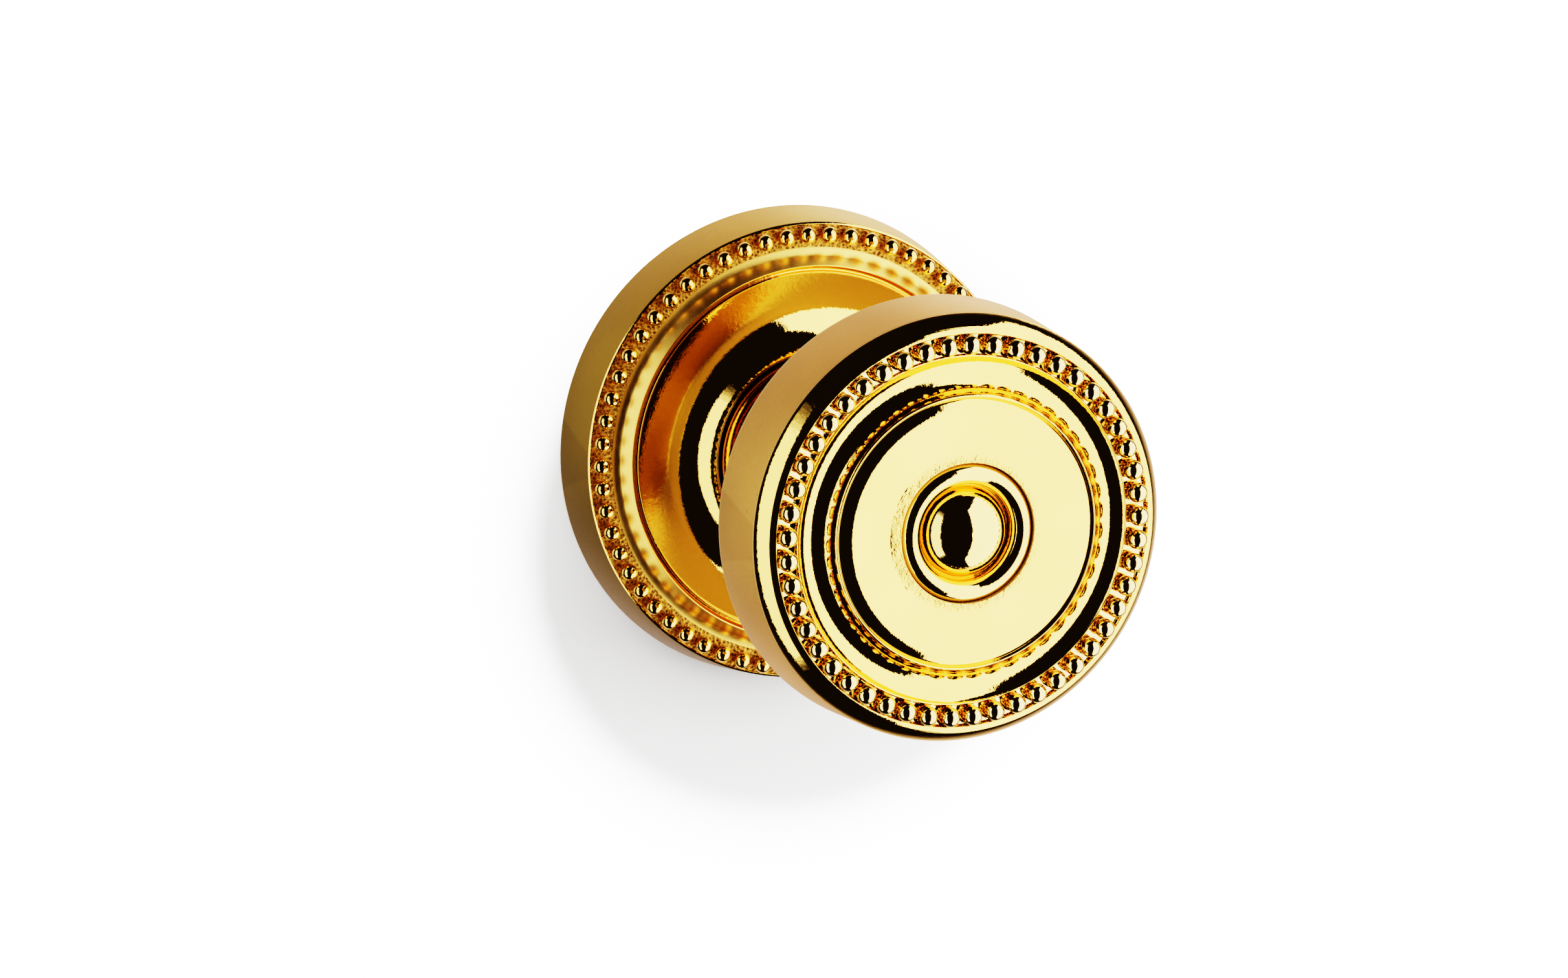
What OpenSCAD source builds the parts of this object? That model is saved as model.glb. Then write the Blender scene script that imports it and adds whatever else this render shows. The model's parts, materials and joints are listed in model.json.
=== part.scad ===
// Beaded door knob on a beaded rose: one half of a passage set.
// Every piece is drawn along +Z, out of the door, from the door face at z = 0,
// and then turned so that the knob axis points along -Y and +Z is up.

/* [Rose] */
// Diameter of the rose where it meets the door
rose_d = 66.7; // [64:0.1:70]
// Height of the rose rim above the door face
rim_h = 8.6; // [8.4:0.1:9]
// Number of beads on the rose
rose_beads = 61; // [40:1:64]
// Diameter of one rose bead
rose_bead_d = 2.3; // [1.8:0.1:2.5]

/* [Knob] */
// Diameter of the knob head at the back of its side band
knob_d = 57; // [56:0.1:58]
// Height of the flat front disc above the door face
disc_h = 65.1; // [62:0.1:70]
// Number of beads on the knob face
knob_beads = 49; // [36:1:52]
// Diameter of one knob bead
knob_bead_d = 2.4; // [2.2:0.1:2.8]
// Diameter of the neck where it leaves the rose
neck_d = 28; // [27.4:0.1:28.2]

/* [Mechanism] */
// Turn each way before the hub meets its stops
turn_limit = 50; // [40:1:52]
// Wire diameter of the return spring
wire_d = 1.4; // [1:0.1:1.5]
// Number of turns of the return spring
spring_turns = 3; // [2:1:3]

/* [Door fixing] */
// Width across the flats of the spindle
spindle_w = 8; // [7:0.1:8]
// How far the spindle reaches into the door
spindle_reach = 46; // [36:1:60]
// Diameter of the cassette that sits in the door's 54 mm bore
cassette_d = 53; // [52:0.1:53.5]
// Distance between the two through bolts
bolt_pitch = 38; // [37:0.1:39]
// How far the bolt posts reach into the door
post_reach = 32; // [24:1:40]

/* [Hidden] */
$fn = 64;

brass = [0.86, 0.64, 0.25];
steel = [0.66, 0.67, 0.70];
zinc = [0.50, 0.51, 0.53];
nylon = [0.90, 0.89, 0.84];
bronze = [0.62, 0.43, 0.26];
black_steel = [0.18, 0.18, 0.19];

slip = 0.05;          // running clearance on the radius
cut = 0.5;            // how far a cutter runs past the face that it opens

// Rose
rose_r = rose_d / 2;
rim_r = rose_r - 1.3;
ground_h = rim_h - 0.2;
bead_row_r = rose_r - 2.95;
rose_bead_h = ground_h + 1;
rose_bead_start = 2.5;
crest_r = rose_r - 7.1;
crest_h = rim_h + 1.45;
sweep_c = [rose_r - 4.75, ground_h + 1.87];
sweep_r = 1.87;
dish_r = rose_r - 8.3;
dish_h = rim_h - 0.4;
cove_r = 7;
cove_c = [rose_r - 12.6, dish_h + cove_r];
collar_bore_r = neck_d / 2 + 0.35;
rose_bore_r = rose_r - 2.35;
ceiling_h = rim_h - 2.6;
rose_screw_h = 2.8;
rose_screw_r = 2;

// Mounting plate
plate_t = 2;
plate_r = rose_bore_r - 0.4;
plate_rim_h = 5.2;
plate_rim_t = 3.2;
boss_r = collar_bore_r - 0.75;
boss_h = 6.5;
bush_r = 10;
bush_flange_h = 8;
shoulder_h = 8.5;
post_r = 4;
post_bore_r = 2.1;
post_screw_r = 1.65;
post_head_r = 3.5;
post_web = 9;           // depth of the web between a post's two bores
cassette_screw_r = 1.25;
cassette_screw_ring = 22.2;

// Cassette, hub and spring
cassette_r = cassette_d / 2;
cassette_depth = 10;
floor_h = -8.2;
cup_r = cassette_r - 1.9;
stem_r = 8;
flat_x = 6.5;
hub_r = 11;
hub_bottom = -8;
hub_top = -0.4;
flange_t = 1.2;
finger_x = [15.6, 17.4];
fixed_tab_x = [18, 20.4];
tab_half_w = 2.2;
coil_r = 13.5;
leg_end_x = 20.2;
leg_y = tab_half_w + wire_d / 2 + 0.08;
coil_top = -2.6;
coil_bottom = -7;
lug_half_angle = 12;
lug_r = 18.5;
stop_gap = 1;
stop_angle = lug_half_angle + turn_limit + stop_gap;
stop_width = 11;
clip_top = -cassette_depth - 0.65;
clip_t = 1;
stem_end = -12.6;
groove_r = 7.2;

// Knob head
knob_r = knob_d / 2;
band_front_r = knob_r - 0.8;
band_back_h = disc_h - 13.4;
seam_h = disc_h - 3.4;
edge_h = disc_h - 3.15;
neck_r = neck_d / 2;
seat_r = 12.8;
seat_h = disc_h - 23.5;
spigot_r = 9;
spigot_h = disc_h - 16.5;
face_spigot_r = band_front_r - 1.85;
face_ceiling_h = disc_h - 4.2;
recess_r = 9.05;
recess_h = disc_h - 2.6;
bolt_seat_h = disc_h - 7.5;
bolt_bore_r = 3.15;
bolt_head_r = 5;
tap_r = 3.02;
spindle_hole_w = spindle_w + 0.06;
spindle_top = 29;
neck_screw_h = 18;
neck_screw_r = 2.5;
face_beads_r = knob_r - 4.5;
face_ground_h = disc_h - 1.8;
knob_bead_h = face_ground_h + 1.1;
knob_bead_start = 0.85;

// Points on a round arc about c, from angle a0 to a1
function arc(c, r, a0, a1, n = 8) =
    [for (i = [0:n]) c + r * [cos(a0 + (a1 - a0) * i / n), sin(a0 + (a1 - a0) * i / n)]];

// Points on a cubic curve from p to s, pulled towards q and r
function curve(p, q, r, s, n = 10) =
    [for (i = [0:n]) let (t = i / n, u = 1 - t)
        u * u * u * p + 3 * u * u * t * q + 3 * u * t * t * r + t * t * t * s];

// Shallow dish of the rose, from the foot of the cove to the ring
function dish(n = 6) =
    [for (i = [1:n]) let (t = i / n)
        [cove_c[0] + (dish_r - cove_c[0]) * t, dish_h + 0.4 * t * t]];

// Turns a piece from "out of the door is up" to its place on the door
module on_door() {
    rotate([90, 0, 0]) children();
}

module lathe(points) {
    rotate_extrude() polygon(points);
}

module tube(r_out, r_in, z0, z1) {
    lathe([[r_in, z0], [r_out, z0], [r_out, z1], [r_in, z1]]);
}

module rod(r, z0, z1) {
    translate([0, 0, z0]) cylinder(r = r, h = z1 - z0);
}

module block(x, y, z) {
    translate([x[0], y[0], z[0]]) cube([x[1] - x[0], y[1] - y[0], z[1] - z[0]]);
}

module bead_row(count, start, ring, d, h) {
    for (i = [0:count - 1]) rotate([0, 0, start + i * 360 / count])
        translate([ring, 0, h]) sphere(d = d, $fn = 24);
}

// Slice of a disc, centred on the angle "at"
module sector(r_in, r_out, at, half_angle, z0, z1) {
    rotate([0, 0, at]) translate([0, 0, z0]) linear_extrude(z1 - z0) intersection() {
        difference() {
            circle(r = r_out);
            circle(r = r_in);
        }
        polygon([[0, 0], r_out * 2 * [cos(half_angle), -sin(half_angle)],
                 r_out * 2 * [cos(half_angle), sin(half_angle)]]);
    }
}

module at_posts() {
    for (side = [-1, 1]) translate([0, side * bolt_pitch / 2, 0]) children();
}

module at_cassette_screws() {
    for (a = [45:90:315]) rotate([0, 0, a]) translate([cassette_screw_ring, 0, 0]) children();
}

// Grub screw of radius r pointing at the axis from below, from y0 to y1
module grub(r, y0, y1, socket_w) {
    rotate([90, 0, 0]) difference() {
        rod(r, y0, y1);
        translate([0, 0, y1 - r]) cylinder(r = socket_w / 2, h = r + cut, $fn = 6);
    }
}

// Countersunk screw with its head's top at z_top
module countersunk(r, head_r, z_top, length) {
    difference() {
        union() {
            translate([0, 0, z_top - (head_r - r)]) cylinder(r1 = r, r2 = head_r, h = head_r - r);
            rod(r, z_top - length, z_top - (head_r - r));
        }
        translate([0, 0, z_top - r]) cylinder(r = r * 0.7, h = r + cut, $fn = 6);
    }
}

module countersunk_hole(r, head_r, z_top, length) {
    translate([0, 0, z_top - (head_r - r)]) cylinder(r1 = r, r2 = head_r + cut, h = head_r - r + cut);
    rod(r, z_top - length, z_top);
}

// Fine bead line, valley, crest and the sweep that falls from it to the ground of the beads
function crested_ring() = concat(
    [[dish_r + 0.05, rim_h + 0.9], [dish_r + 0.15, rim_h + 1.05], [dish_r + 0.3, rim_h + 1.05],
     [dish_r + 0.42, rim_h + 0.45], [dish_r + 0.6, rim_h + 0.4], [crest_r - 0.15, crest_h - 0.1],
     [crest_r, crest_h]],
    arc(sweep_c, sweep_r, 228, 270, 6));

function rose_outline() = concat(
    [[collar_bore_r, ceiling_h], [collar_bore_r, dish_h + 3.25], [collar_bore_r + 0.15, dish_h + 3.45]],
    arc(cove_c, cove_r, 210, 270, 10),
    dish(),
    crested_ring(),
    [[rim_r - 0.4, ground_h], [rim_r - 0.3, rim_h], [rim_r, rim_h - 0.25],
     [rose_r, 0], [rose_bore_r, 0], [rose_bore_r, ceiling_h - 0.6], [rose_bore_r - 0.8, ceiling_h]]);

module rose_cover() {
    color(brass) on_door() difference() {
        union() {
            lathe(rose_outline());
            bead_row(rose_beads, rose_bead_start, bead_row_r, rose_bead_d, rose_bead_h);
        }
        translate([0, 0, rose_screw_h]) rotate([90, 0, 0]) rod(rose_screw_r, rose_bore_r - 2, rose_r + cut);
    }
}

module rose_set_screw() {
    color(black_steel) on_door() translate([0, 0, rose_screw_h])
        grub(rose_screw_r - slip, plate_r - 0.75, rose_r - 0.75, 2);
}

module mounting_plate() {
    color(steel) on_door() difference() {
        union() {
            rod(plate_r, 0, plate_t);
            tube(plate_r, plate_r - plate_rim_t, 0, plate_rim_h);
            rod(boss_r, 0, boss_h);
        }
        rod(bush_r, -cut, boss_h + cut);
        at_posts() countersunk_hole(post_screw_r, post_head_r, plate_t, plate_t + cut);
        at_cassette_screws() countersunk_hole(cassette_screw_r, 2.4, plate_t, plate_t + cut);
        translate([0, 0, rose_screw_h]) rotate([90, 0, 0]) rod(rose_screw_r, plate_r - 0.8, plate_r + cut);
    }
}

module neck_bush() {
    color(nylon) on_door()
        lathe([[stem_r + slip, 0], [bush_r - slip, 0], [bush_r - slip, boss_h],
               [boss_r - 0.4, boss_h], [boss_r - 0.4, bush_flange_h], [stem_r + slip, bush_flange_h]]);
}

module thrust_washer() {
    color(bronze) on_door() tube(boss_r - 0.3, stem_r + 0.2, bush_flange_h, shoulder_h - slip);
}

module cassette_body() {
    color(zinc) on_door() difference() {
        union() {
            tube(cassette_r, cup_r, -cassette_depth, 0);
            tube(cup_r + cut, stem_r + slip, -cassette_depth, floor_h);
            at_cassette_screws() rod(2.3, floor_h - cut, 0);
            block(fixed_tab_x, [-tab_half_w, tab_half_w], [floor_h - cut, coil_top + wire_d]);
            for (side = [-1, 1])
                sector(15, 19, 180 + side * (stop_angle + stop_width / 2), stop_width / 2,
                       floor_h - cut, hub_top);
        }
        at_posts() rod(post_r + slip, -cassette_depth - cut, cut);
        at_cassette_screws() rod(cassette_screw_r, floor_h + 1, cut);
    }
}

module cassette_screws() {
    color(steel) on_door() at_cassette_screws() countersunk(cassette_screw_r - slip, 2.4 - slip, plate_t, 8);
}

module bolt_posts() {
    color(steel) on_door() at_posts() lathe([[post_bore_r, -post_reach], [post_r - 0.4, -post_reach],
        [post_r, -post_reach + 0.4], [post_r, 0], [post_screw_r, 0], [post_screw_r, -post_web],
        [0, -post_web], [0, -post_web - 3], [post_bore_r, -post_web - 3]]);
}

module post_screws() {
    color(steel) on_door() at_posts() countersunk(post_screw_r - slip, post_head_r - slip, plate_t, 10);
}

module drive_hub() {
    color(zinc) on_door() difference() {
        union() {
            rod(hub_r, hub_bottom, hub_top);
            rod(15, hub_top - flange_t, hub_top);
            block([10, finger_x[1]], [-tab_half_w, tab_half_w], [hub_top - flange_t, hub_top]);
            block(finger_x, [-tab_half_w, tab_half_w], [hub_bottom + 0.2, hub_top]);
            sector(10, lug_r, 180, lug_half_angle, hub_top - flange_t, hub_top);
        }
        intersection() {
            rod(stem_r + slip, hub_bottom - cut, hub_top + cut);
            block([-flat_x - slip, flat_x + slip], [-stem_r * 2, stem_r * 2],
                  [hub_bottom - cut, hub_top + cut]);
        }
    }
}

// Route of the spring wire: leg, coil and leg
function spring_route(steps = 26) =
    let (a0 = asin(leg_y / coil_r), sweep = 360 * spring_turns - 2 * a0, n = steps * spring_turns)
    concat(
        [[leg_end_x, leg_y, coil_top]],
        [for (i = [0:n]) let (a = a0 + sweep * i / n)
            [coil_r * cos(a), coil_r * sin(a), coil_top + (coil_bottom - coil_top) * i / n]],
        [[leg_end_x, -leg_y, coil_bottom]]);

function unit(v) = v / norm(v);

// Round wire swept along a nearly level route
module wire(route, r, sides = 8) {
    last = len(route) - 1;
    rings = [for (i = [0:last]) let (
            t = unit(route[min(i + 1, last)] - route[max(i - 1, 0)]),
            across = unit(cross([0, 0, 1], t)),
            up = cross(t, across))
        for (k = [0:sides - 1]) route[i] + r * (cos(k * 360 / sides) * across + sin(k * 360 / sides) * up)];
    walls = [for (i = [0:last - 1], k = [0:sides - 1]) let (k2 = (k + 1) % sides)
        [i * sides + k, (i + 1) * sides + k, (i + 1) * sides + k2, i * sides + k2]];
    ends = [[for (k = [0:sides - 1]) k], [for (k = [sides - 1:-1:0]) last * sides + k]];
    polyhedron(rings, concat(walls, ends), convexity = 10);
}

module return_spring() {
    color(steel) on_door() wire(spring_route(), wire_d / 2);
}

module clip_washer() {
    color(steel) on_door() tube(12, stem_r + 0.2, clip_top + slip, -cassette_depth - slip);
}

module retaining_clip() {
    color(black_steel) on_door() difference() {
        tube(10.5, groove_r + slip, clip_top - clip_t, clip_top);
        sector(0, 12, 90, 12, clip_top - clip_t - cut, clip_top + cut);
    }
}

function shank_outline() = concat(
    [[0, stem_end], [stem_r - 0.5, stem_end], [stem_r, stem_end + 0.5],
     [stem_r, clip_top - clip_t - slip], [groove_r, clip_top - clip_t - slip],
     [groove_r, clip_top + slip], [stem_r, clip_top + slip],
     [stem_r, shoulder_h], [neck_r, shoulder_h]],
    curve([neck_r, 11.6], [neck_r - 0.1, 15], [neck_r - 2.8, 16.5], [neck_r - 2.9, 24]),
    curve([neck_r - 2.9, 24], [neck_r - 2.9, 30], [seat_r - 1.7, seat_h - 5], [seat_r, seat_h]),
    [[spigot_r, seat_h], [spigot_r, spigot_h], [0, spigot_h]]);

module knob_shank() {
    color(brass) on_door() difference() {
        lathe(shank_outline());
        block([-1, 1] * spindle_hole_w / 2, [-1, 1] * spindle_hole_w / 2,
              [stem_end - cut, spindle_top + 0.5]);
        rod(tap_r, seat_h - 5, spigot_h + cut);
        for (side = [-1, 1])
            block([flat_x, stem_r * 2] * side, [-stem_r * 2, stem_r * 2], [hub_bottom - 0.1, hub_top + 0.1]);
        translate([0, 0, neck_screw_h]) rotate([90, 0, 0]) rod(neck_screw_r, spindle_w / 2 - 1, neck_r + cut);
        for (side = [-1, 1]) translate([side * 10.9, 0, 0]) rod(1, seat_h - 3, seat_h + cut);
    }
}

function back_shell_outline() = concat(
    [[spigot_r + slip, seat_h]],
    curve([seat_r, seat_h], [seat_r + 1.4, seat_h + 3.6], [seat_r + 6, seat_h + 5.8],
          [knob_r - 3.6, seat_h + 7.2]),
    curve([knob_r - 3.6, seat_h + 7.2], [knob_r - 1.2, seat_h + 7.7], [knob_r, band_back_h - 1.4],
          [knob_r, band_back_h], 8),
    [[band_front_r, seam_h], [face_spigot_r + slip, seam_h], [face_spigot_r + slip, band_back_h + 1],
     [knob_r - 4.2, seat_h + 9.2], [seat_r + 4, seat_h + 7.4], [11.6, seat_h + 5.2], [11.6, spigot_h],
     [spigot_r + slip, spigot_h]]);

module knob_back_shell() {
    color(brass) on_door() difference() {
        lathe(back_shell_outline());
        for (side = [-1, 1]) translate([side * 10.9, 0, 0]) rod(1, seat_h - cut, seat_h + 3);
    }
}

module head_dowels() {
    color(steel) on_door() for (side = [-1, 1]) translate([side * 10.9, 0, 0])
        rod(1 - slip, seat_h - 2.9, seat_h + 2.9);
}

function face_outline() = concat(
    [[bolt_bore_r, spigot_h], [bolt_bore_r, bolt_seat_h], [bolt_head_r, bolt_seat_h],
     [bolt_head_r, recess_h], [recess_r, recess_h], [recess_r, disc_h]],
    arc([15.6, disc_h - 2.7], 2.7, 90, 51, 6),
    [[17.4, disc_h - 0.45], [17.5, disc_h - 0.28], [17.65, disc_h - 0.28]],
    arc([20.4, disc_h + 0.2], 2.65, 194, 320, 13),
    [[22.6, disc_h - 1.5], [22.7, face_ground_h], [25.22, face_ground_h], [25.26, disc_h - 1.2]],
    arc([25.4, disc_h - 2.3], 1.25, 90, 51, 4),
    curve([26.19, disc_h - 1.33], [26.6, disc_h - 1.66], [27.35, disc_h - 2.45], [band_front_r, edge_h], 6),
    [[band_front_r, seam_h], [face_spigot_r, seam_h], [face_spigot_r, seam_h - 2.3],
     [face_spigot_r - 1.6, seam_h - 2.3], [face_spigot_r - 1.6, face_ceiling_h],
     [spigot_r - 0.1, face_ceiling_h], [spigot_r - 0.1, spigot_h]]);

module knob_face() {
    color(brass) on_door() union() {
        lathe(face_outline());
        bead_row(knob_beads, knob_bead_start, face_beads_r, knob_bead_d, knob_bead_h);
    }
}

function boss_outline() = concat(
    [[0, recess_h - 1], [bolt_head_r - 0.1, recess_h - 1], [bolt_head_r - 0.1, recess_h],
     [recess_r - 0.1, recess_h], [recess_r - 0.1, disc_h - 1]],
    arc([7.6, disc_h - 1.15], 1.4, 10, 172, 10),
    [[6.14, disc_h - 1.65]],
    arc([0, disc_h - 4], 6.4, 20, 90, 9));

module face_boss() {
    color(brass) on_door() lathe(boss_outline());
}

module tie_bolt() {
    color(black_steel) on_door() difference() {
        union() {
            rod(tap_r - 0.02, seat_h - 4, bolt_seat_h + 0.6);
            rod(bolt_head_r - 0.2, bolt_seat_h + 0.6, recess_h - 1.2);
        }
        translate([0, 0, bolt_seat_h + 1.4]) cylinder(r = 2.4, h = 6, $fn = 6);
    }
}

module tie_washer() {
    color(steel) on_door() tube(bolt_head_r - 0.1, bolt_bore_r, bolt_seat_h, bolt_seat_h + 0.6);
}

module spindle() {
    color(steel) on_door() intersection() {
        block([-1, 1] * spindle_w / 2, [-1, 1] * spindle_w / 2, [-spindle_reach, spindle_top]);
        lathe([[0, -spindle_reach - cut], [4.2, -spindle_reach - cut], [spindle_w, -spindle_reach + 3],
               [spindle_w, spindle_top + cut], [0, spindle_top + cut]]);
    }
}

module spindle_set_screw() {
    color(black_steel) on_door() translate([0, 0, neck_screw_h])
        grub(neck_screw_r - slip, spindle_w / 2 + 0.02, neck_r - 2.4, 2.5);
}

rose_cover();
rose_set_screw();
mounting_plate();
neck_bush();
thrust_washer();
cassette_body();
cassette_screws();
bolt_posts();
post_screws();
drive_hub();
return_spring();
clip_washer();
retaining_clip();
knob_shank();
knob_back_shell();
head_dowels();
knob_face();
face_boss();
tie_bolt();
tie_washer();
spindle();
spindle_set_screw();
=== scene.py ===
"""Looks of the beaded door knob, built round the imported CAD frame."""
import json
import math

import bmesh
import bpy
from mathutils import Matrix, Vector


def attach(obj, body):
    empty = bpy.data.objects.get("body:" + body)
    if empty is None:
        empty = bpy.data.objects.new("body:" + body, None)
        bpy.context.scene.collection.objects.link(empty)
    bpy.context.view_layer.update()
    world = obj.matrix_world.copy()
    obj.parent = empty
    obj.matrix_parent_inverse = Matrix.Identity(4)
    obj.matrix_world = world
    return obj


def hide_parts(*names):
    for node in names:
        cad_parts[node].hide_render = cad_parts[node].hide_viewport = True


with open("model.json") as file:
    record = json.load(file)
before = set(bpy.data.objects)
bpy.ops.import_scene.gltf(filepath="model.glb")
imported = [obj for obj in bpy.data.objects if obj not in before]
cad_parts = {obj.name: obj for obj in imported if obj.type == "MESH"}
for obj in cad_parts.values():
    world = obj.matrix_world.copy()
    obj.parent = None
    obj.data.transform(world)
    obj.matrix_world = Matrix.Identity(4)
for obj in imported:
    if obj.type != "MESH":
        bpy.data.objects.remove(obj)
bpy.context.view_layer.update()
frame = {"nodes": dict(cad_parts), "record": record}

MM = 0.001

# ---------------------------------------------------------------- sizes, mm
# Radii (R) are measured from the knob's axis, heights (H) from the face of the door; X, Y and Z
# are coordinates in the row frame.
ROSE_R, RIM_H = 33.35, 8.6
RIM_R, GROUND_H = ROSE_R - 1.3, RIM_H - 0.2
ROSE_BEADS, ROSE_BEAD_R, ROSE_BEAD_START = 61, 1.15, 2.5
BEAD_ROW_R, BEAD_ROW_H = ROSE_R - 2.95, GROUND_H + 1
CREST_R, CREST_H = ROSE_R - 7.1, RIM_H + 1.45
SWEEP_C, SWEEP_R = (ROSE_R - 4.75, GROUND_H + 1.87), 1.87
DISH_FALL = 0.4
DISH_R, DISH_H = ROSE_R - 8.3, RIM_H - DISH_FALL
COVE_R = 7.0
COVE_C = (ROSE_R - 12.6, DISH_H + COVE_R)
NECK_R = 14.0
COLLAR_BORE_R = NECK_R + 0.35
ROSE_BORE_R = ROSE_R - 2.35
CEILING_H = RIM_H - 2.6

DISC_H = 65.1
KNOB_R = 28.5
BAND_FRONT_R = KNOB_R - 0.8
BAND_BACK_H, SEAM_H, EDGE_H = DISC_H - 13.4, DISC_H - 3.4, DISC_H - 3.15
SEAT_R, SEAT_H = 12.8, DISC_H - 23.5
SPIGOT_R, SPIGOT_H = 9.0, DISC_H - 16.5
FACE_SPIGOT_R = BAND_FRONT_R - 1.85
RECESS_R, RECESS_H = 9.05, DISC_H - 2.6
KNOB_BEADS, KNOB_BEAD_R, KNOB_BEAD_START = 49, 1.3, 0.85
FACE_BEADS_R, FACE_GROUND_H = KNOB_R - 4.5, DISC_H - 1.8
FACE_BEADS_H = FACE_GROUND_H + 1.0
STEM_R, STEM_END, SHOULDER_H = 8.0, -12.6, 8.5
GROOVE_R, CLIP_TOP, CLIP_T = 7.2, -10.65, 1.0
SPINDLE_HOLE, SPINDLE_TOP = 8.06, 29.0
TAP_R = 3.02
SCREW_H, SCREW_R = 18.0, 2.5
ROSE_SCREW_H, ROSE_SCREW_R = 2.8, 2.0
DOWEL_X, DOWEL_R, DOWEL_LENGTH = 10.9, 1.0, 3.5
FLAT_X, FLAT_MID_Y, FLAT_CUT = 8.5, 4.2, (4, 7.8, 32)
BOLT_BORE_R, BOLT_HEAD_R, BOLT_SEAT_H = 3.15, 5.0, DISC_H - 7.5
FACE_CEILING_H = DISC_H - 4.2
WORN_RING = (9.0, 10.6)
ROSE_SCREW_CUT, SCREW_CUT, SCREW_CUT_Z = 6, 16, -11

# An edge is eased with this radius where the outline turns by this many degrees or more, but over
# no more than this share of the stretches that meet there.
EASE, EASE_TURN, EASE_SHARE, EASE_STEPS = 0.1, 24.0, 0.42, 3
AXIS_R, SAME_POINT = 0.01, 1e-4
SHARP_ANGLE = 26
SEGMENTS, ROD_SEGMENTS, DISH_STEPS = 288, 96, 24
SATIN, POLISHED, BRUSHED, GROUND, TURNED = "satin", "polished", "brushed", "ground", "turned"
ORDER = [SATIN, POLISHED, BRUSHED, GROUND, TURNED]


# ---------------------------------------------------------------- outlines
def arc(centre, r, a0, a1, n):
    """Points on a round arc, with the angles in degrees."""
    out = []
    for i in range(n + 1):
        a = math.radians(a0 + (a1 - a0) * i / n)
        out.append((centre[0] + r * math.cos(a), centre[1] + r * math.sin(a)))
    return out


def curve(p, q, r, s, n=28):
    """Points on a cubic curve from p to s."""
    out = []
    for i in range(n + 1):
        t = i / n
        u = 1 - t
        k = (u * u * u, 3 * u * u * t, 3 * u * t * t, t * t * t)
        out.append(tuple(k[0] * p[j] + k[1] * q[j] + k[2] * r[j] + k[3] * s[j] for j in (0, 1)))
    return out


class Outline:
    """A closed outline whose stretches carry the name of their finish."""

    def __init__(self):
        self.points, self.finish = [], []

    def add(self, finish, points):
        """Adds points; a stretch has the finish given last for the point that it starts from."""
        for p in points:
            if self.points and math.dist(p, self.points[-1]) < SAME_POINT:
                self.finish[-1] = finish
                continue
            self.points.append(tuple(p))
            self.finish.append(finish)


def eased(outline):
    """The outline with its corners rounded off, as polishing leaves them."""
    pts, fin, n = outline.points, outline.finish, len(outline.points)
    new = Outline()
    for i in range(n):
        a, b, c = Vector(pts[i - 1]), Vector(pts[i]), Vector(pts[(i + 1) % n])
        u, v = a - b, c - b
        turn = 180 - math.degrees(u.angle(v)) if u.length > 1e-6 and v.length > 1e-6 else 0
        if turn < EASE_TURN or b.x < AXIS_R:
            new.points.append(tuple(b))
            new.finish.append(fin[i])
            continue
        trim = min(EASE * math.tan(math.radians(turn) / 2), EASE_SHARE * u.length,
                   EASE_SHARE * v.length)
        s, e = b + u.normalized() * trim, b + v.normalized() * trim
        for k in range(EASE_STEPS + 1):
            t = k / EASE_STEPS
            p = s * (1 - t) ** 2 + b * 2 * t * (1 - t) + e * t * t
            new.points.append(tuple(p))
            new.finish.append(fin[i - 1] if k < EASE_STEPS // 2 else fin[i])
    return new


def dish():
    """The shallow dish of the rose, from the foot of the cove out to the ring."""
    out = []
    for i in range(1, DISH_STEPS + 1):
        t = i / DISH_STEPS
        out.append((COVE_C[0] + (DISH_R - COVE_C[0]) * t, DISH_H + DISH_FALL * t * t))
    return out


def rose_outline():
    """The collar's bore, the cove, the dish, the crested ring, the bead channel, and the rim."""
    o = Outline()
    o.add(TURNED, [(COLLAR_BORE_R, CEILING_H), (COLLAR_BORE_R, DISH_H + 3.25)])
    o.add(POLISHED, [(COLLAR_BORE_R + 0.15, DISH_H + 3.45)])
    o.add(POLISHED, arc(COVE_C, COVE_R, 210, 270, 48))
    o.add(POLISHED, dish())
    o.add(POLISHED, [(DISH_R + 0.05, RIM_H + 0.9), (DISH_R + 0.15, RIM_H + 1.05),
                     (DISH_R + 0.3, RIM_H + 1.05), (DISH_R + 0.42, RIM_H + 0.45),
                     (DISH_R + 0.6, RIM_H + 0.4), (CREST_R - 0.15, CREST_H - 0.1)])
    o.add(BRUSHED, [(CREST_R, CREST_H)])
    o.add(BRUSHED, arc(SWEEP_C, SWEEP_R, 228, 270, 24))
    o.add(GROUND, [(SWEEP_C[0], GROUND_H)])
    o.add(POLISHED, [(RIM_R - 0.4, GROUND_H), (RIM_R - 0.3, RIM_H)])
    o.add(SATIN, [(RIM_R, RIM_H - 0.25)])
    o.add(TURNED, [(ROSE_R, 0), (ROSE_BORE_R, 0), (ROSE_BORE_R, CEILING_H - 0.6),
                   (ROSE_BORE_R - 0.8, CEILING_H)])
    return o


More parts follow.
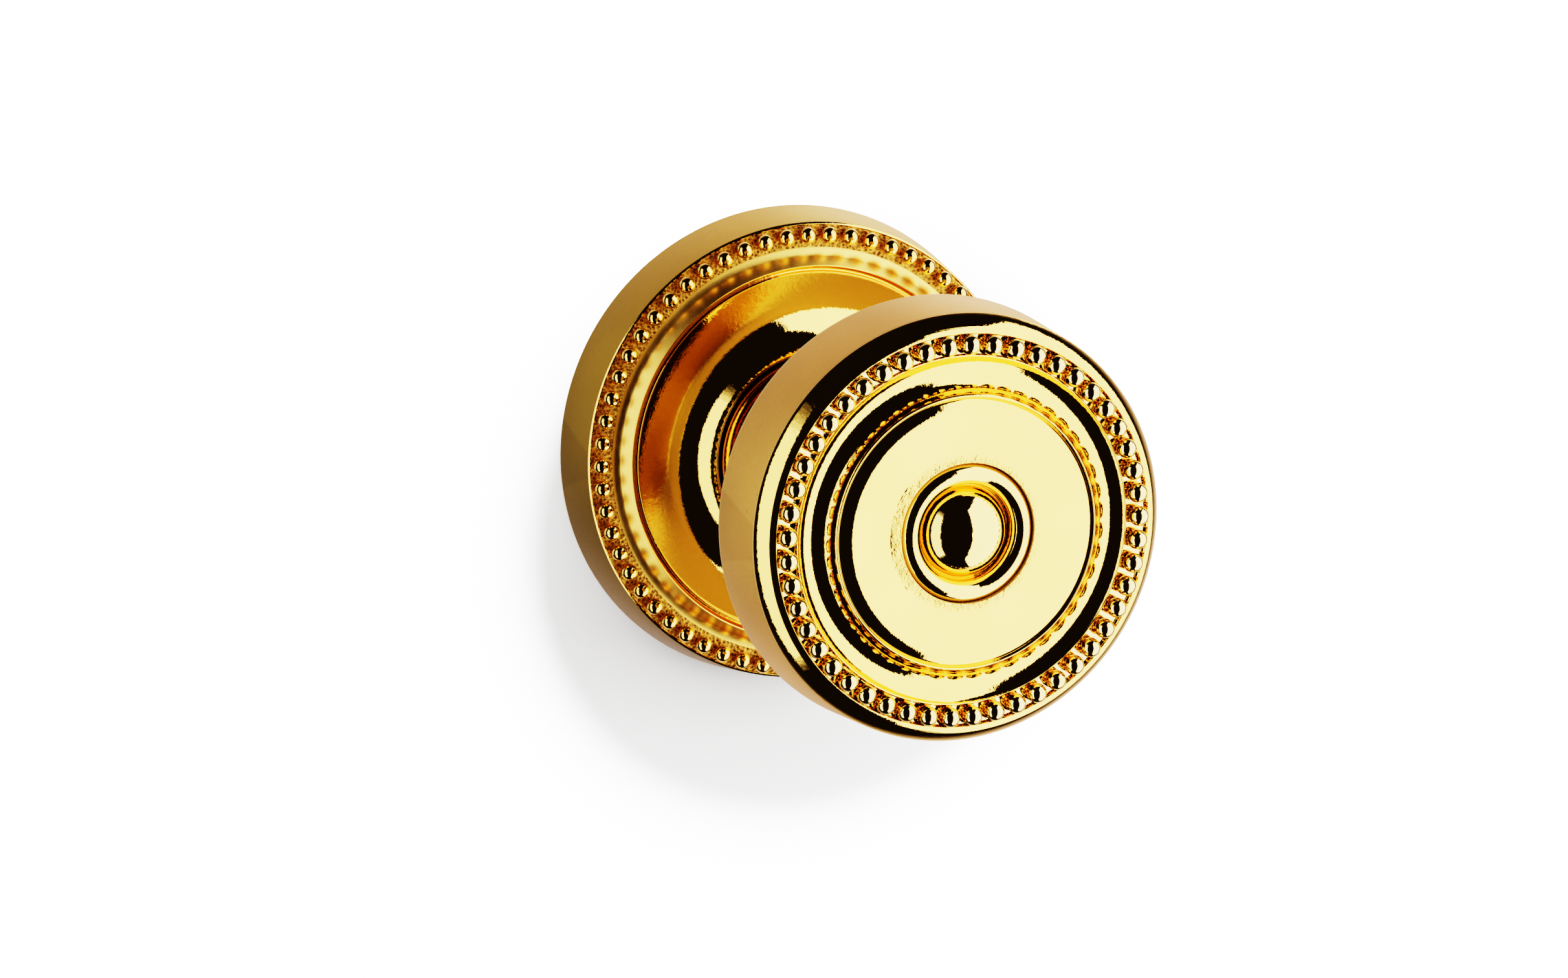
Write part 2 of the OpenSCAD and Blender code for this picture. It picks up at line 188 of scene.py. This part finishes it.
def shank_outline():
    """The stem with its clip groove, the neck that flares to the head, and the head's spigot."""
    o = Outline()
    o.add(TURNED, [(0, STEM_END), (STEM_R - 0.5, STEM_END), (STEM_R, STEM_END + 0.5),
                   (STEM_R, CLIP_TOP - CLIP_T - 0.05), (GROOVE_R, CLIP_TOP - CLIP_T - 0.05),
                   (GROOVE_R, CLIP_TOP + 0.05), (STEM_R, CLIP_TOP + 0.05),
                   (STEM_R, SHOULDER_H)])
    o.add(POLISHED, [(NECK_R, SHOULDER_H)])
    o.add(POLISHED, curve((NECK_R, 11.6), (NECK_R - 0.1, 15), (NECK_R - 2.8, 16.5),
                          (NECK_R - 2.9, 24)))
    o.add(POLISHED, curve((NECK_R - 2.9, 24), (NECK_R - 2.9, 30), (SEAT_R - 1.7, SEAT_H - 5),
                          (SEAT_R, SEAT_H)))
    o.add(TURNED, [(SEAT_R, SEAT_H), (SPIGOT_R, SEAT_H), (SPIGOT_R, SPIGOT_H), (0, SPIGOT_H)])
    return o


def back_shell_outline():
    """The hollow back of the head, from its seat on the neck out to the satin band."""
    o = Outline()
    o.add(TURNED, [(SPIGOT_R + 0.05, SEAT_H)])
    o.add(TURNED, curve((SEAT_R, SEAT_H), (SEAT_R + 1.4, SEAT_H + 3.6), (SEAT_R + 6, SEAT_H + 5.8),
                        (KNOB_R - 3.6, SEAT_H + 7.2), 36))
    o.add(TURNED, curve((KNOB_R - 3.6, SEAT_H + 7.2), (KNOB_R - 1.2, SEAT_H + 7.7),
                        (KNOB_R, BAND_BACK_H - 1.4), (KNOB_R, BAND_BACK_H), 24))
    o.add(SATIN, [(KNOB_R, BAND_BACK_H)])
    o.add(TURNED, [(BAND_FRONT_R, SEAM_H), (FACE_SPIGOT_R + 0.05, SEAM_H),
                   (FACE_SPIGOT_R + 0.05, BAND_BACK_H + 1), (KNOB_R - 4.2, SEAT_H + 9.2),
                   (SEAT_R + 4, SEAT_H + 7.4), (11.6, SEAT_H + 5.2), (11.6, SPIGOT_H),
                   (SPIGOT_R + 0.05, SPIGOT_H)])
    return o


def face_outline():
    """The recess and its flat, the hollow, the bead channel, and the lip that meets the band."""
    o = Outline()
    o.add(TURNED, [(BOLT_BORE_R, SPIGOT_H), (BOLT_BORE_R, BOLT_SEAT_H), (BOLT_HEAD_R, BOLT_SEAT_H),
                   (BOLT_HEAD_R, RECESS_H), (RECESS_R, RECESS_H)])
    o.add(POLISHED, [(RECESS_R, DISC_H)])
    o.add(POLISHED, [(11.5, DISC_H), (13.5, DISC_H)])
    o.add(POLISHED, arc((15.6, DISC_H - 2.7), 2.7, 90, 51, 20))
    o.add(POLISHED, [(17.4, DISC_H - 0.45), (17.5, DISC_H - 0.28), (17.65, DISC_H - 0.28)])
    o.add(POLISHED, arc((20.4, DISC_H + 0.2), 2.65, 194, 320, 52))
    o.add(POLISHED, [(22.6, DISC_H - 1.5)])
    o.add(GROUND, [(22.7, FACE_GROUND_H), (25.22, FACE_GROUND_H)])
    o.add(POLISHED, [(25.26, DISC_H - 1.2)])
    o.add(POLISHED, arc((25.4, DISC_H - 2.3), 1.25, 90, 51, 14))
    o.add(POLISHED, curve((26.19, DISC_H - 1.33), (26.6, DISC_H - 1.66), (27.35, DISC_H - 2.45),
                          (BAND_FRONT_R, EDGE_H), 18))
    o.add(SATIN, [(BAND_FRONT_R, EDGE_H)])
    o.add(TURNED, [(BAND_FRONT_R, SEAM_H), (FACE_SPIGOT_R, SEAM_H), (FACE_SPIGOT_R, SEAM_H - 2.3),
                   (FACE_SPIGOT_R - 1.6, SEAM_H - 2.3), (FACE_SPIGOT_R - 1.6, FACE_CEILING_H),
                   (SPIGOT_R - 0.1, FACE_CEILING_H), (SPIGOT_R - 0.1, SPIGOT_H)])
    return o


def boss_outline():
    """The cap in the middle of the face: a rounded ring round a low dome."""
    o = Outline()
    o.add(TURNED, [(0, RECESS_H - 1), (4.9, RECESS_H - 1), (4.9, RECESS_H),
                   (RECESS_R - 0.1, RECESS_H)])
    o.add(POLISHED, [(RECESS_R - 0.1, DISC_H - 1)])
    o.add(POLISHED, arc((7.6, DISC_H - 1.15), 1.4, 10, 172, 40))
    o.add(POLISHED, [(6.14, DISC_H - 1.65)])
    o.add(POLISHED, arc((0, DISC_H - 4), 6.4, 20, 90, 56))
    return o


# ---------------------------------------------------------------- meshes
def place(r, angle, h):
    """A point at radius r, angle and height h off the door, in the row frame, in metres."""
    return Vector((r * math.cos(angle), -h, r * math.sin(angle))) * MM


def linked(name, bm):
    """A new object in the scene with the mesh that was built."""
    mesh = bpy.data.meshes.new(name)
    bm.to_mesh(mesh)
    bm.free()
    ob = bpy.data.objects.new(name, mesh)
    bpy.context.scene.collection.objects.link(ob)
    return ob


def lathe(name, outline):
    """Turns a closed outline about the knob's axis; a point on the axis becomes one vertex."""
    bm = bmesh.new()
    rings = []
    for r, h in outline.points:
        if r < AXIS_R:
            rings.append([bm.verts.new(place(0, 0, h))])
        else:
            rings.append([bm.verts.new(place(r, 2 * math.pi * k / SEGMENTS, h))
                          for k in range(SEGMENTS)])
    n = len(rings)
    for i in range(n):
        a, b = rings[i], rings[(i + 1) % n]
        if len(a) == 1 and len(b) == 1:
            continue
        index = ORDER.index(outline.finish[i])
        for k in range(SEGMENTS):
            k2 = (k + 1) % SEGMENTS
            corners = [a[k % len(a)], b[k % len(b)], b[k2 % len(b)], a[k2 % len(a)]]
            unique = list(dict.fromkeys(corners))
            bm.faces.new(unique).material_index = index
    bmesh.ops.recalc_face_normals(bm, faces=bm.faces)
    return linked(name, bm)


def shade(ob):
    """Smooth shading that keeps the edges sharper than SHARP_ANGLE."""
    for poly in ob.data.polygons:
        poly.use_smooth = True
    ob.data.set_sharp_from_angle(angle=math.radians(SHARP_ANGLE))


def add_beads(ob, count, start, ring, r, h, finish):
    """Adds a row of round beads, sunk in their ground; start is the first one's angle."""
    bm = bmesh.new()
    bm.from_mesh(ob.data)
    for i in range(count):
        centre = place(ring, math.radians(start) + 2 * math.pi * i / count, h)
        made = bmesh.ops.create_icosphere(bm, subdivisions=3, radius=r * MM,
                                          matrix=Matrix.Translation(centre))
        for v in made["verts"]:
            for f in v.link_faces:
                f.material_index = ORDER.index(finish)
    bm.to_mesh(ob.data)
    bm.free()


def cutter(kind, size, matrix):
    """A solid used once to cut an opening: a box, or a rod of a radius and a length, in mm."""
    bm = bmesh.new()
    size = [v * MM for v in size]
    if kind == "box":
        bmesh.ops.create_cube(bm, size=1, matrix=matrix @ Matrix.Diagonal((*size, 1)))
    else:
        bmesh.ops.create_cone(bm, cap_ends=True, segments=ROD_SEGMENTS, radius1=size[0],
                              radius2=size[0], depth=size[1], matrix=matrix)
    return linked("cutter", bm)


def cut(ob, *tools):
    """Cuts the tools' shapes out of the mesh, and removes the tools."""
    for tool in tools:
        tool.data.materials.append(ob.data.materials[ORDER.index(TURNED)])
        mod = ob.modifiers.new("cut", "BOOLEAN")
        mod.operation, mod.object, mod.solver = "DIFFERENCE", tool, "EXACT"
        mod.material_mode = "TRANSFER"
        depsgraph = bpy.context.evaluated_depsgraph_get()
        mesh = bpy.data.meshes.new_from_object(ob.evaluated_get(depsgraph), depsgraph=depsgraph)
        ob.modifiers.clear()
        ob.data = mesh
        bpy.data.objects.remove(tool)


def along_y(x, y, z):
    """Puts a cutter at a point in mm, with its length along the knob's axis."""
    return Matrix.Translation(Vector((x, y, z)) * MM) @ Matrix.Rotation(math.pi / 2, 4, "X")


def upright(x, y, z):
    """Puts a cutter at a point in mm, with its length upright."""
    return Matrix.Translation(Vector((x, y, z)) * MM)


# ---------------------------------------------------------------- materials
# The scale of a pattern is per metre, and the depth of a bump is in metres.
class Nodes:
    """A small helper that wires up one node tree."""

    def __init__(self, tree):
        self.tree = tree

    def link(self, value, socket):
        if hasattr(value, "is_output"):
            self.tree.links.new(value, socket)
        else:
            socket.default_value = value

    def node(self, kind, inputs=None, **settings):
        n = self.tree.nodes.new(kind)
        for key, value in settings.items():
            setattr(n, key, value)
        for key, value in (inputs or {}).items():
            self.link(value, n.inputs[key])
        return n

    def math(self, operation, a, b=0.0):
        return self.node("ShaderNodeMath", {0: a, 1: b}, operation=operation).outputs[0]

    def ramp(self, fac, low, high, to_low=0.0, to_high=1.0, kind="LINEAR"):
        return self.node("ShaderNodeMapRange", {"Value": fac, "From Min": low, "From Max": high,
                                                "To Min": to_low, "To Max": to_high},
                         interpolation_type=kind).outputs["Result"]

    def mix(self, fac, a, b, blend="MIX"):
        n = self.node("ShaderNodeMix", {0: fac, 6: a, 7: b}, data_type="RGBA", blend_type=blend)
        return n.outputs[2]


class Shader(Nodes):
    """One material, with the patterns that its finish is made of."""

    def __init__(self, name):
        self.mat = bpy.data.materials.new(name)
        self.mat.use_nodes = True
        super().__init__(self.mat.node_tree)
        self.bsdf = self.tree.nodes["Principled BSDF"]
        self.coords = self.node("ShaderNodeTexCoord").outputs["Object"]

    def separate(self):
        """The object coordinates one by one: x to the right, y into the door, z up."""
        return self.node("ShaderNodeSeparateXYZ", {0: self.coords}).outputs

    def noise(self, scale, detail=3.0, roughness=0.55, distortion=0.0, vector=None):
        return self.node("ShaderNodeTexNoise", {
            "Vector": self.coords if vector is None else vector, "Scale": scale, "Detail": detail,
            "Roughness": roughness, "Distortion": distortion}).outputs["Fac"]

    def cells(self, scale):
        return self.node("ShaderNodeTexVoronoi",
                         {"Vector": self.coords, "Scale": scale}).outputs["Distance"]

    def radius(self):
        """Distance from the knob's axis."""
        flat = self.node("ShaderNodeVectorMath", {0: self.coords, 1: (1, 0, 1)},
                         operation="MULTIPLY")
        return self.node("ShaderNodeVectorMath", {0: flat.outputs[0]},
                         operation="LENGTH").outputs["Value"]

    def turned(self, scale):
        """Fine rings about the knob's axis, as turning and buffing leave them."""
        slow = self.noise(55.0, 2.0)
        lines = self.node("ShaderNodeCombineXYZ", {
            0: self.math("MULTIPLY", self.radius(), scale),
            1: self.math("MULTIPLY", self.separate()[1], scale),
            2: self.math("MULTIPLY", slow, 6.0)})
        return self.noise(1.0, 3.0, 0.6, vector=lines.outputs[0])

    def bump(self, height, distance, normal=None):
        """Relief of the given depth in metres, on top of another one where a normal is given."""
        inputs = {"Height": height, "Distance": distance, "Strength": 1.0}
        if normal is not None:
            inputs["Normal"] = normal
        return self.node("ShaderNodeBump", inputs).outputs["Normal"]

    def finish(self, colour, roughness, normal, metallic=1.0):
        for key, value in (("Base Color", colour), ("Roughness", roughness),
                           ("Metallic", metallic), ("Normal", normal)):
            self.link(value, self.bsdf.inputs[key])
        return self.mat


def rgb(r, g, b):
    return (r, g, b, 1.0)


def toned_by(tint, *by):
    """The tint times one factor, or times one factor for each channel."""
    return rgb(*(v * k for v, k in zip(tint, by if len(by) == 3 else by * 3)))


def polished_brass(name, tint, worn=None):
    """Mirror-bright brass; worn is a pair of radii in mm between which the polish is uneven."""
    s = Shader(name)
    cloud = s.noise(90.0, 4.0)
    colour = s.mix(s.ramp(cloud, 0.35, 0.7), rgb(*tint), toned_by(tint, 0.97, 0.95, 0.9))
    smear = s.noise(260.0, 5.0, 0.65, 0.4)
    rough = s.ramp(smear, 0.4, 0.75, 0.012, 0.04)
    normal = s.bump(s.turned(1900.0), 3.5e-6)
    normal = s.bump(s.noise(1500.0, 3.0), 1.3e-5, normal)
    if worn:
        r = s.radius()
        near_boss = s.math("MULTIPLY", s.ramp(r, worn[1] * MM, worn[0] * MM),
                           s.math("GREATER_THAN", r, worn[0] * MM))
        uneven = s.math("ADD", s.noise(900.0, 4.0, 0.7), 0.3)
        normal = s.bump(s.math("MULTIPLY", near_boss, uneven), 1.9e-4, normal)
    return s.finish(colour, rough, normal)


def brushed_brass(name, tint):
    """Brass with clear turning lines, between satin and polished."""
    s = Shader(name)
    lines = s.turned(3400.0)
    smear = s.noise(200.0, 4.0, 0.6)
    colour = s.mix(s.ramp(smear, 0.35, 0.7), toned_by(tint, 0.82), rgb(*tint))
    rough = s.math("ADD", s.ramp(smear, 0.35, 0.7, 0.27, 0.33), s.ramp(lines, 0.3, 0.7, 0.0, 0.05))
    return s.finish(colour, rough, s.bump(lines, 4.0e-6))


def satin_brass(name, tint, painted_shade_lower_left=False):
    """Fine-grained matt brass with specks and hair scratches; it can carry painted shade that
    darkens it to the lower left.
    """
    s = Shader(name)
    grain = s.noise(3600.0, 3.0, 0.65)
    cloud = s.noise(70.0, 4.0)
    depth = s.math("ADD", s.math("MULTIPLY", grain, 0.55), s.math("MULTIPLY", cloud, 0.45))
    colour = s.mix(s.ramp(depth, 0.3, 0.72), toned_by(tint, 0.74), rgb(*tint))
    # Painted shade: by object position, the colour is multiplied down to a dull grey-brown towards
    # the lower left, standing in for less light there.
    if painted_shade_lower_left:
        x, _, z = s.separate()
        up_right = s.math("ADD", x, z)
        shaded_colour = s.mix(1.0, colour, rgb(0.36, 0.36, 0.30), blend="MULTIPLY")
        colour = s.mix(s.ramp(up_right, -0.035, 0.022), shaded_colour, colour)
    rough = s.ramp(grain, 0.3, 0.7, 0.44, 0.56)
    specks = s.math("MULTIPLY", s.ramp(s.cells(260.0), 0.09, 0.05), s.ramp(cloud, 0.52, 0.6))
    hair = s.noise(95.0, 1.0, 0.5, 1.6)
    thin = s.ramp(s.math("ABSOLUTE", s.math("SUBTRACT", hair, 0.5)), 0.0022, 0.0008)
    scratch = s.math("MULTIPLY", thin, s.ramp(s.noise(130.0, 1.0), 0.57, 0.62))
    marks = s.math("MAXIMUM", specks, scratch)
    colour = s.mix(s.math("MULTIPLY", marks, 0.55), colour, toned_by(tint, 0.35))
    normal = s.bump(s.turned(1500.0), 5.0e-6)
    return s.finish(colour, rough, s.bump(grain, 1.1e-5, normal))


def stippled_ground(name, tint):
    """The pitted, darkened ground that the rose's beads stand on."""
    s = Shader(name)
    grain = s.noise(3200.0, 4.0, 0.7)
    height = s.math("ADD", s.math("MULTIPLY", s.cells(2100.0), 0.7),
                    s.math("MULTIPLY", grain, 0.6))
    colour = s.mix(s.ramp(height, 0.4, 0.95), toned_by(tint, 0.13, 0.09, 0.06),
                   toned_by(tint, 0.85, 0.74, 0.62))
    rough = s.ramp(grain, 0.3, 0.7, 0.22, 0.42)
    return s.finish(colour, rough, s.bump(height, 1.6e-4))


def turned_brass(name, tint, low=0.24, high=0.4):
    """Brass as the lathe leaves it, with a roughness between low and high."""
    s = Shader(name)
    lines = s.turned(4200.0)
    colour = s.mix(lines, toned_by(tint, 0.72), toned_by(tint, 0.95))
    return s.finish(colour, s.ramp(lines, 0.3, 0.7, low, high), s.bump(lines, 1.0e-5))


def plain_metal(name, tint, low, high, scale=1800.0, depth=5.0e-6):
    """An even, grained metal for the hidden parts, with a roughness between low and high."""
    s = Shader(name)
    grain = s.noise(scale, 5.0, 0.65)
    cloud = s.noise(120.0, 4.0)
    colour = s.mix(s.ramp(cloud, 0.35, 0.7), toned_by(tint, 0.75), rgb(*tint))
    rough = s.ramp(grain, 0.3, 0.75, low, high)
    return s.finish(colour, rough, s.bump(grain, depth))


def moulded_nylon(name):
    """White nylon with the faint grain of its mould."""
    s = Shader(name)
    grain = s.noise(2400.0, 3.0)
    colour = s.mix(s.noise(150.0, 3.0), rgb(0.74, 0.72, 0.64), rgb(0.86, 0.85, 0.79))
    rough = s.ramp(grain, 0.3, 0.7, 0.38, 0.52)
    return s.finish(colour, rough, s.bump(grain, 4.0e-6), metallic=0.0)


BRASS = (0.96, 0.57, 0.145)
PALE_BRASS = (0.93, 0.62, 0.23)
BOSS_BRASS = (0.96, 0.60, 0.18)
SHELL_BRASS = (0.95, 0.66, 0.25)
SATIN_BRASS = (0.85, 0.47, 0.135)
ROSE_SATIN_BRASS = (0.83, 0.49, 0.105)
materials = {
    "rose": {
        # The rose's satin has shade painted on, darker to its lower left.
        SATIN: satin_brass("rose_satin_painted_shade", ROSE_SATIN_BRASS, painted_shade_lower_left=True),
        POLISHED: polished_brass("rose_polished", BRASS),
        BRUSHED: brushed_brass("rose_brushed", BRASS),
        GROUND: stippled_ground("rose_stippled", BRASS),
        TURNED: turned_brass("rose_turned", BRASS),
    },
    "knob": {
        SATIN: satin_brass("knob_satin", SATIN_BRASS),
        POLISHED: polished_brass("knob_polished", BRASS, worn=WORN_RING),
        BRUSHED: brushed_brass("knob_brushed", BRASS),
        GROUND: polished_brass("knob_channel", PALE_BRASS),
        TURNED: turned_brass("knob_turned", SHELL_BRASS, 0.45, 0.6),
    },
}
materials["boss"] = dict(materials["knob"])
materials["boss"][POLISHED] = polished_brass("boss_polished", BOSS_BRASS)
SLOT_MATERIAL = {
    "plate_steel": plain_metal("zinc_plated_steel", (0.62, 0.63, 0.66), 0.22, 0.42),
    "zinc": plain_metal("die_cast_zinc", (0.40, 0.41, 0.43), 0.42, 0.62, 900.0, 1.6e-5),
    "nylon": moulded_nylon("white_nylon"),
    "bronze": plain_metal("bronze", (0.62, 0.40, 0.22), 0.25, 0.4),
    "spring_steel": plain_metal("drawn_wire", (0.42, 0.43, 0.46), 0.18, 0.34),
    "spindle_steel": plain_metal("cold_drawn_steel", (0.56, 0.57, 0.60), 0.2, 0.38, 2600.0),
    "black_steel": plain_metal("black_oxide", (0.045, 0.046, 0.05), 0.3, 0.5),
}


# ---------------------------------------------------------------- pieces
def piece(name, outline, family, node):
    """One turned brass part that stands in for its CAD node."""
    ob = lathe(name, eased(outline))
    for key in ORDER:
        ob.data.materials.append(materials[family][key])
    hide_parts(node)
    return ob


rose = piece("rose_brass", rose_outline(), "rose", "rose_cover")
cut(rose, cutter("rod", (ROSE_SCREW_R, ROSE_SCREW_CUT),
                 upright(0, -ROSE_SCREW_H, -(ROSE_BORE_R + 1))))
add_beads(rose, ROSE_BEADS, ROSE_BEAD_START, BEAD_ROW_R, ROSE_BEAD_R, BEAD_ROW_H, POLISHED)
shade(rose)
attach(rose, "rose")

# The stem is bored square for the spindle, drilled for the tie bolt and the set screw, flattened
# on both sides for the drive hub, and drilled for the two dowels in the head's seat. The cutters
# run a little past the open ends of their holes.
shank = piece("neck_brass", shank_outline(), "knob", "knob_shank")
hole_top = SPINDLE_TOP + 0.5
cut(shank,
    cutter("box", (SPINDLE_HOLE, hole_top - STEM_END + 1, SPINDLE_HOLE),
           upright(0, -(hole_top + STEM_END - 1) / 2, 0)),
    cutter("rod", (TAP_R, SPIGOT_H - SEAT_H + 6), along_y(0, -(SPIGOT_H + SEAT_H - 4) / 2, 0)),
    cutter("rod", (SCREW_R, SCREW_CUT), upright(0, -SCREW_H, SCREW_CUT_Z)),
    *(cutter("box", FLAT_CUT, upright(way * FLAT_X, FLAT_MID_Y, 0)) for way in (1, -1)),
    *(cutter("rod", (DOWEL_R, DOWEL_LENGTH), along_y(way * DOWEL_X, -(SEAT_H - 1.25), 0))
      for way in (-1, 1)))
shade(shank)
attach(shank, "knob")

shell = piece("head_shell_brass", back_shell_outline(), "knob", "knob_back_shell")
shade(shell)
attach(shell, "knob")

face = piece("face_brass", face_outline(), "knob", "knob_face")
add_beads(face, KNOB_BEADS, KNOB_BEAD_START, FACE_BEADS_R, KNOB_BEAD_R, FACE_BEADS_H, GROUND)
shade(face)
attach(face, "knob")

boss = piece("boss_brass", boss_outline(), "boss", "face_boss")
shade(boss)
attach(boss, "knob")

# Every CAD piece that is not brass takes the material of its slot.
slots = {part["node"]: part["material_slot"] for part in frame["record"]["subparts"]}
for node_name, ob in frame["nodes"].items():
    if slots[node_name] in SLOT_MATERIAL:
        ob.data.materials.clear()
        ob.data.materials.append(SLOT_MATERIAL[slots[node_name]])


# ---------------------------------------------------------------- stage, m
WALL_Y, FLOOR_Z, STAGE = 0.0002, -1.15, 3.0
GLOW = 16.0


def plane(name, corners, material):
    """A flat sheet that belongs to the stage; mirrors and bounced light do not see it."""
    mesh = bpy.data.meshes.new(name)
    mesh.from_pydata([Vector(c) for c in corners], [], [(0, 1, 2, 3)])
    ob = bpy.data.objects.new(name, mesh)
    bpy.context.scene.collection.objects.link(ob)
    mesh.materials.append(material)
    ob.visible_glossy = ob.visible_diffuse = False
    return ob


def paper(name, tint, centre, full, gone):
    """Matt pale paint, seen from its front only.

    It shows within full mm of the centre, and has turned to a white glow at gone mm from it.
    """
    s = Shader(name)
    grain = s.noise(900.0, 3.0)
    colour = s.mix(grain, toned_by(tint, 0.985), rgb(*tint))
    s.finish(colour, s.ramp(grain, 0.3, 0.7, 0.75, 0.85), s.bump(grain, 2.0e-5), metallic=0.0)
    geometry = s.node("ShaderNodeNewGeometry")
    clear = s.node("ShaderNodeBsdfTransparent")
    away = s.node("ShaderNodeVectorMath", {0: s.coords, 1: tuple(v * MM for v in centre)},
                  operation="DISTANCE")
    edge = s.ramp(away.outputs["Value"], full * MM, gone * MM, kind="SMOOTHSTEP")
    glow = s.node("ShaderNodeEmission", {"Color": rgb(1, 1, 1), "Strength": GLOW})
    lit = s.node("ShaderNodeMixShader", {0: edge, 1: s.bsdf.outputs[0], 2: glow.outputs[0]})
    blend = s.node("ShaderNodeMixShader", {0: geometry.outputs["Backfacing"], 1: lit.outputs[0],
                                           2: clear.outputs[0]})
    s.mat.cycles.emission_sampling = "NONE"
    s.link(blend.outputs[0], s.tree.nodes["Material Output"].inputs["Surface"])
    return s.mat


wall = plane("wall", [(-STAGE, WALL_Y, FLOOR_Z), (STAGE, WALL_Y, FLOOR_Z), (STAGE, WALL_Y, STAGE),
                      (-STAGE, WALL_Y, STAGE)],
             paper("wall_paint", (0.9, 0.9, 0.9), (2.0, 0.0, -14.0), 37.0, 54.0))
floor = plane("floor", [(-STAGE, -STAGE, FLOOR_Z), (STAGE, -STAGE, FLOOR_Z),
                        (STAGE, STAGE, FLOOR_Z), (-STAGE, STAGE, FLOOR_Z)],
              paper("floor_paint", (0.86, 0.86, 0.86), (0.0, 0.0, FLOOR_Z / MM), 100.0, 900.0))

# The two wall lights light the wall only, and every other panel lights all but the wall.
papered, unpapered = bpy.data.collections.new("papered"), bpy.data.collections.new("unpapered")
for group in (papered, unpapered):
    group.objects.link(wall)
unpapered.collection_objects[0].light_linking.link_state = "EXCLUDE"


def panel(name, centre, facing, width, height, radiance, mirror=True):
    """An upright light panel that the camera does not see.

    With mirror it shows in the brass and lights it; without, it lights the wall only.
    """
    light = bpy.data.lights.new(name, "AREA")
    light.shape, light.size, light.size_y = "RECTANGLE", width, height
    light.energy = radiance * width * height * math.pi
    ob = bpy.data.objects.new(name, light)
    bpy.context.scene.collection.objects.link(ob)
    ob.location = centre
    ob.rotation_euler = Vector(facing).to_track_quat("-Z", "Y").to_euler()
    ob.visible_camera = False
    ob.visible_glossy = mirror
    ob.light_linking.receiver_collection = unpapered if mirror else papered


# The right and the left panel are laid out in multiples of their distance from FRONT, a point on
# the axis just behind the knob's face.
FRONT = Vector((0, -0.062, 0))
R_DISTANCE, R_AZIMUTH = 0.35, math.radians(65)
out = Vector((math.sin(R_AZIMUTH), -math.cos(R_AZIMUTH), 0))
side = Vector((-math.cos(R_AZIMUTH), -math.sin(R_AZIMUTH), 0))
near, far, low, high = (k * R_DISTANCE for k in (1.19, 0.64, 3.08, 1.6))
panel("panel_right",
      FRONT + out * R_DISTANCE + side * (near - far) / 2 + Vector((0, 0, (high - low) / 2)),
      -out, near + far, high + low, 3.0)

# The left panel fades out at its top and bottom, in strips of falling radiance.
L_DISTANCE, L_WIDTH = 0.45, 0.62
L_TOP, L_BOTTOM, L_STRIP = 0.68, -1.44, 0.08
L_Y = FRONT.y - L_WIDTH / 2 * L_DISTANCE
panel("panel_left", (-L_DISTANCE, L_Y, (L_TOP + L_BOTTOM) / 2 * L_DISTANCE), (1, 0, 0),
      L_WIDTH * L_DISTANCE, (L_TOP - L_BOTTOM) * L_DISTANCE, 2.4)
for i, level in enumerate((1.4, 0.7, 0.3, 0.12)):
    for end, way in ((L_TOP, 1), (L_BOTTOM, -1)):
        middle = (-L_DISTANCE, L_Y, (end + way * (i + 0.5) * L_STRIP) * L_DISTANCE)
        panel("panel_left_edge", middle, (1, 0, 0),
              L_WIDTH * L_DISTANCE, L_STRIP * L_DISTANCE, level)

for name, centre, size, radiance in (("wall_light_side", (0.62, -1.2, 0.42), 1.1, 9.7),
                                     ("wall_light_top", (-0.15, -1.3, 0.4), 1.0, 9.3)):
    panel(name, centre, -Vector(centre), size, size, radiance, mirror=False)
panel("back_right", (0.7, 0.8, 0.5), (-0.7, -0.75, -0.5), 0.8, 0.8, 1.2)
panel("back_left", (-0.8, 0.6, 0.1), (0.8, -0.55, -0.1), 0.6, 1.0, 0.8)

# The brass mirrors a room that is dark in front of the door and pale behind it, paler to the
# right and far up or down. The camera sees plain white.
world = bpy.data.worlds.new("studio")
bpy.context.scene.world = world
world.use_nodes = True
room = Nodes(world.node_tree)
compass = room.node("ShaderNodeTexCoord").outputs["Generated"]
x, y, z = room.node("ShaderNodeSeparateXYZ", {0: compass}).outputs
lift = room.ramp(room.math("ADD", x, room.math("ABSOLUTE", z)), -0.45, 0.75, kind="SMOOTHSTEP")
behind = room.ramp(y, 0.25, 0.75, kind="SMOOTHSTEP")
pale = room.mix(lift, rgb(0.33, 0.32, 0.32), rgb(1.15, 1.0, 1.05))
mirrored = room.mix(behind, rgb(0.018, 0.015, 0.011), pale)
seen = room.node("ShaderNodeLightPath").outputs["Is Camera Ray"]
room.link(room.mix(seen, mirrored, rgb(GLOW, GLOW, GLOW)),
          room.tree.nodes["Background"].inputs["Color"])

# ---------------------------------------------------------------- camera
AZIMUTH, ELEVATION = math.radians(-20.449), math.radians(11.752)
DISTANCE, SHIFT_RIGHT, SHIFT_UP, FOCAL = 0.58963, -0.000491, -0.006778, 96.574
back = Vector((math.sin(AZIMUTH) * math.cos(ELEVATION),
               -math.cos(AZIMUTH) * math.cos(ELEVATION), math.sin(ELEVATION)))
right = Vector((math.cos(AZIMUTH), math.sin(AZIMUTH), 0))
up = back.cross(right)
camera = bpy.data.cameras.new("camera")
camera.sensor_width, camera.lens = 36.0, FOCAL
camera.clip_start, camera.clip_end = 0.01, 20.0
eye = bpy.data.objects.new("camera", camera)
bpy.context.scene.collection.objects.link(eye)
spot = back * DISTANCE + right * SHIFT_RIGHT + up * SHIFT_UP
eye.matrix_world = Matrix((
    (right.x, up.x, back.x, spot.x),
    (right.y, up.y, back.y, spot.y),
    (right.z, up.z, back.z, spot.z),
    (0, 0, 0, 1)))
bpy.context.scene.camera = eye
bpy.context.scene.view_settings.view_transform = "Filmic"
bpy.context.scene.view_settings.look = "Very High Contrast"
